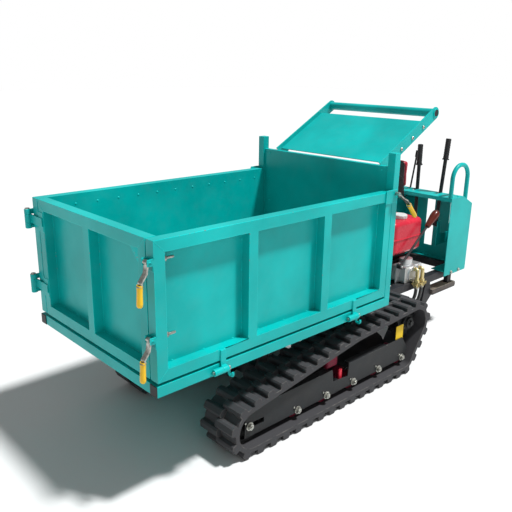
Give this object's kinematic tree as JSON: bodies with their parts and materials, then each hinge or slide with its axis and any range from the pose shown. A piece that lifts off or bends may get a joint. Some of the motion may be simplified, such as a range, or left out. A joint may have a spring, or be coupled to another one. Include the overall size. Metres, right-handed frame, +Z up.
{
  "type": "power wheelbarrow",
  "caption": "Walk-behind tracked power wheelbarrow with a tipping drop-side cargo bed, petrol engine, hydraulic tipping and a lever console.",
  "frame": {"origin": "on the ground under the middle of the overall length and width", "axes": "+X towards the dumping end, +Y to the operator's left, +Z up"},
  "size_m": [2.2568, 0.86, 1.219],
  "materials": {
    "teal_paint": "gloss",
    "black_paint": "satin",
    "charcoal_paint": "satin",
    "track_rubber": "matte",
    "red_roller_paint": "satin",
    "zinc_plate": "satin",
    "yellow_brass": "satin",
    "cast_aluminium": "satin",
    "engine_black": "matte",
    "tank_red": "gloss",
    "grey_plastic": "matte",
    "black_plastic": "matte",
    "red_vinyl": "satin",
    "brown_grip": "gloss",
    "hose_rubber": "satin",
    "step_rubber": "matte",
    "chrome_rod": "gloss"
  },
  "bodies": {
    "chassis": {"track_belt_left": "track_rubber", "track_belt_right": "track_rubber", "track_frames": "charcoal_paint", "track_axle_bolts": "zinc_plate", "chassis_frame": "black_paint", "gearbox": "cast_aluminium", "engine_block": "engine_black", "recoil_starter": "black_plastic", "air_filter": "black_plastic", "muffler": "engine_black", "fuel_tank": "tank_red", "hydraulic_pump": "cast_aluminium", "hose_elbows": "yellow_brass", "hoses_and_cables": "hose_rubber", "console_frame": "black_paint", "console_side_panels": "teal_paint", "console_bolts": "teal_paint", "grab_handle": "teal_paint", "cushion": "red_vinyl", "cushion_backing": "black_paint", "foot_rests": "step_rubber"},
    "cargo_bed": {"bed_frame": "teal_paint", "side_hinge_pins": "zinc_plate", "headboard": "teal_paint", "cover_panel": "teal_paint", "cover_frame": "teal_paint", "cover_bolts": "teal_paint", "tube_end_caps": "black_plastic"},
    "left_side": {"left_gate": "teal_paint", "latch_studs": "zinc_plate"},
    "right_side": {"right_gate": "teal_paint", "front_hinge_pins": "teal_paint"},
    "front_door": {"front_gate": "teal_paint"},
    "upper_latch": {"front_upper_latch": "zinc_plate"},
    "lower_latch": {"front_lower_latch": "zinc_plate"},
    "left_rear_latch": {"rear_left_latch": "zinc_plate"},
    "right_rear_latch": {"rear_right_latch": "zinc_plate"},
    "tank_cap": {"fuel_cap": "grey_plastic"},
    "gear_stick": {"gear_lever": "brown_grip"},
    "left_steering": {"steering_lever_left": "black_paint"},
    "right_steering": {"steering_lever_right": "black_paint"},
    "throttle": {"throttle_lever": "black_paint"},
    "barrel": {"cylinder_barrel": "black_paint"},
    "ram": {"cylinder_rod": "chrome_rod"},
    "sprocket_left_wheel": {"sprocket_left": "charcoal_paint"},
    "idler_left_wheel": {"idler_left": "charcoal_paint"},
    "carrier_left_wheel": {"carrier_left": "charcoal_paint"},
    "roller_1_left_wheel": {"roller_1_left": "red_roller_paint"},
    "roller_2_left_wheel": {"roller_2_left": "red_roller_paint"},
    "roller_3_left_wheel": {"roller_3_left": "red_roller_paint"},
    "roller_4_left_wheel": {"roller_4_left": "red_roller_paint"},
    "roller_5_left_wheel": {"roller_5_left": "red_roller_paint"},
    "sprocket_right_wheel": {"sprocket_right": "charcoal_paint"},
    "idler_right_wheel": {"idler_right": "charcoal_paint"},
    "carrier_right_wheel": {"carrier_right": "charcoal_paint"},
    "roller_1_right_wheel": {"roller_1_right": "red_roller_paint"},
    "roller_2_right_wheel": {"roller_2_right": "red_roller_paint"},
    "roller_3_right_wheel": {"roller_3_right": "red_roller_paint"},
    "roller_4_right_wheel": {"roller_4_right": "red_roller_paint"},
    "roller_5_right_wheel": {"roller_5_right": "red_roller_paint"}
  },
  "joints": [
    {"name": "bed_tip", "type": "hinge", "parent": "chassis", "child": "cargo_bed", "pos_m": [0.6575, 0, 0.37], "axis": [0, 1, 0], "range_deg": [0, 45]},
    {"name": "cylinder_swing", "type": "hinge", "parent": "chassis", "child": "barrel", "pos_m": [0.4575, 0, 0.13], "axis": [0, -1, 0], "range_deg": [-4.5, 0]},
    {"name": "cylinder_extend", "type": "slide", "parent": "barrel", "child": "ram", "axis": [0.2249, 0, 0.9744], "range_m": [0, 0.108]},
    {"name": "left_gate_drop", "type": "hinge", "parent": "cargo_bed", "child": "left_side", "pos_m": [0.4775, 0.414, 0.418], "axis": [-1, 0, 0], "range_deg": [0, 110]},
    {"name": "right_gate_drop", "type": "hinge", "parent": "cargo_bed", "child": "right_side", "pos_m": [0.4775, -0.414, 0.418], "axis": [1, 0, 0], "range_deg": [0, 110]},
    {"name": "front_gate_swing", "type": "hinge", "parent": "right_side", "child": "front_door", "pos_m": [1.0895, -0.418, 0.69], "axis": [0, 0, -1], "range_deg": [0, 180]},
    {"name": "upper_latch_lift", "type": "hinge", "parent": "left_side", "child": "upper_latch", "pos_m": [1.0885, 0.384, 0.838], "axis": [0, -1, 0], "range_deg": [0, 110]},
    {"name": "lower_latch_lift", "type": "hinge", "parent": "left_side", "child": "lower_latch", "pos_m": [1.0885, 0.384, 0.594], "axis": [0, -1, 0], "range_deg": [0, 110]},
    {"name": "left_rear_latch_lift", "type": "hinge", "parent": "left_side", "child": "left_rear_latch", "pos_m": [-0.095, 0.419, 0.894], "axis": [0, 1, 0], "range_deg": [0, 90]},
    {"name": "right_rear_latch_lift", "type": "hinge", "parent": "right_side", "child": "right_rear_latch", "pos_m": [-0.095, -0.419, 0.894], "axis": [0, 1, 0], "range_deg": [0, 90]},
    {"name": "tank_cap_turn", "type": "hinge", "parent": "chassis", "child": "tank_cap", "pos_m": [-0.6625, 0.062, 0.651], "axis": [0, 0, 1], "range_deg": [0, 90]},
    {"name": "gear_shift", "type": "hinge", "parent": "chassis", "child": "gear_stick", "pos_m": [-0.5525, 0.16, 0.425], "axis": [0, 1, 0], "range_deg": [-6, 12]},
    {"name": "left_steering_pull", "type": "hinge", "parent": "chassis", "child": "left_steering", "pos_m": [-1.00604, 0.071, 0.56], "axis": [0, -1, 0], "range_deg": [0, 13]},
    {"name": "right_steering_pull", "type": "hinge", "parent": "chassis", "child": "right_steering", "pos_m": [-1.01771, -0.071, 0.56], "axis": [0, -1, 0], "range_deg": [0, 13]},
    {"name": "throttle_move", "type": "hinge", "parent": "chassis", "child": "throttle", "pos_m": [-1.0125, -0.12, 0.7], "axis": [0, 1, 0], "range_deg": [-10, 15]},
    {"name": "sprocket_left_spin", "type": "hinge", "parent": "chassis", "child": "sprocket_left_wheel", "pos_m": [-0.3645, 0.31, 0.235], "axis": [0, 1, 0], "continuous": true},
    {"name": "idler_left_spin", "type": "hinge", "parent": "chassis", "child": "idler_left_wheel", "pos_m": [0.6635, 0.31, 0.114], "axis": [0, 1, 0], "continuous": true},
    {"name": "carrier_left_spin", "type": "hinge", "parent": "chassis", "child": "carrier_left_wheel", "pos_m": [0.0615, 0.31, 0.258], "axis": [0, 1, 0], "continuous": true},
    {"name": "roller_1_left_spin", "type": "hinge", "parent": "chassis", "child": "roller_1_left_wheel", "pos_m": [0.4055, 0.31, 0.08], "axis": [0, 1, 0], "continuous": true},
    {"name": "roller_2_left_spin", "type": "hinge", "parent": "chassis", "child": "roller_2_left_wheel", "pos_m": [0.2315, 0.31, 0.08], "axis": [0, 1, 0], "continuous": true},
    {"name": "roller_3_left_spin", "type": "hinge", "parent": "chassis", "child": "roller_3_left_wheel", "pos_m": [0.0545, 0.31, 0.08], "axis": [0, 1, 0], "continuous": true},
    {"name": "roller_4_left_spin", "type": "hinge", "parent": "chassis", "child": "roller_4_left_wheel", "pos_m": [-0.1245, 0.31, 0.08], "axis": [0, 1, 0], "continuous": true},
    {"name": "roller_5_left_spin", "type": "hinge", "parent": "chassis", "child": "roller_5_left_wheel", "pos_m": [-0.3045, 0.31, 0.08], "axis": [0, 1, 0], "continuous": true},
    {"name": "sprocket_right_spin", "type": "hinge", "parent": "chassis", "child": "sprocket_right_wheel", "pos_m": [-0.3645, -0.31, 0.235], "axis": [0, 1, 0], "continuous": true},
    {"name": "idler_right_spin", "type": "hinge", "parent": "chassis", "child": "idler_right_wheel", "pos_m": [0.6635, -0.31, 0.114], "axis": [0, 1, 0], "continuous": true},
    {"name": "carrier_right_spin", "type": "hinge", "parent": "chassis", "child": "carrier_right_wheel", "pos_m": [0.0615, -0.31, 0.258], "axis": [0, 1, 0], "continuous": true},
    {"name": "roller_1_right_spin", "type": "hinge", "parent": "chassis", "child": "roller_1_right_wheel", "pos_m": [0.4055, -0.31, 0.08], "axis": [0, 1, 0], "continuous": true},
    {"name": "roller_2_right_spin", "type": "hinge", "parent": "chassis", "child": "roller_2_right_wheel", "pos_m": [0.2315, -0.31, 0.08], "axis": [0, 1, 0], "continuous": true},
    {"name": "roller_3_right_spin", "type": "hinge", "parent": "chassis", "child": "roller_3_right_wheel", "pos_m": [0.0545, -0.31, 0.08], "axis": [0, 1, 0], "continuous": true},
    {"name": "roller_4_right_spin", "type": "hinge", "parent": "chassis", "child": "roller_4_right_wheel", "pos_m": [-0.1245, -0.31, 0.08], "axis": [0, 1, 0], "continuous": true},
    {"name": "roller_5_right_spin", "type": "hinge", "parent": "chassis", "child": "roller_5_right_wheel", "pos_m": [-0.3045, -0.31, 0.08], "axis": [0, 1, 0], "continuous": true}
  ],
  "couplings": [
    {"joint": "cylinder_swing", "follows": "bed_tip", "ratio": -0.0957},
    {"joint": "cylinder_extend", "follows": "bed_tip", "m_per_rad": 0.13718},
    {"joint": "idler_left_spin", "follows": "sprocket_left_spin", "ratio": 1.027},
    {"joint": "carrier_left_spin", "follows": "sprocket_left_spin", "ratio": 2.8148},
    {"joint": "roller_1_left_spin", "follows": "sprocket_left_spin", "ratio": 1.9},
    {"joint": "roller_2_left_spin", "follows": "sprocket_left_spin", "ratio": 1.9},
    {"joint": "roller_3_left_spin", "follows": "sprocket_left_spin", "ratio": 1.9},
    {"joint": "roller_4_left_spin", "follows": "sprocket_left_spin", "ratio": 1.9},
    {"joint": "roller_5_left_spin", "follows": "sprocket_left_spin", "ratio": 1.9},
    {"joint": "idler_right_spin", "follows": "sprocket_right_spin", "ratio": 1.027},
    {"joint": "carrier_right_spin", "follows": "sprocket_right_spin", "ratio": 2.8148},
    {"joint": "roller_1_right_spin", "follows": "sprocket_right_spin", "ratio": 1.9},
    {"joint": "roller_2_right_spin", "follows": "sprocket_right_spin", "ratio": 1.9},
    {"joint": "roller_3_right_spin", "follows": "sprocket_right_spin", "ratio": 1.9},
    {"joint": "roller_4_right_spin", "follows": "sprocket_right_spin", "ratio": 1.9},
    {"joint": "roller_5_right_spin", "follows": "sprocket_right_spin", "ratio": 1.9}
  ]
}
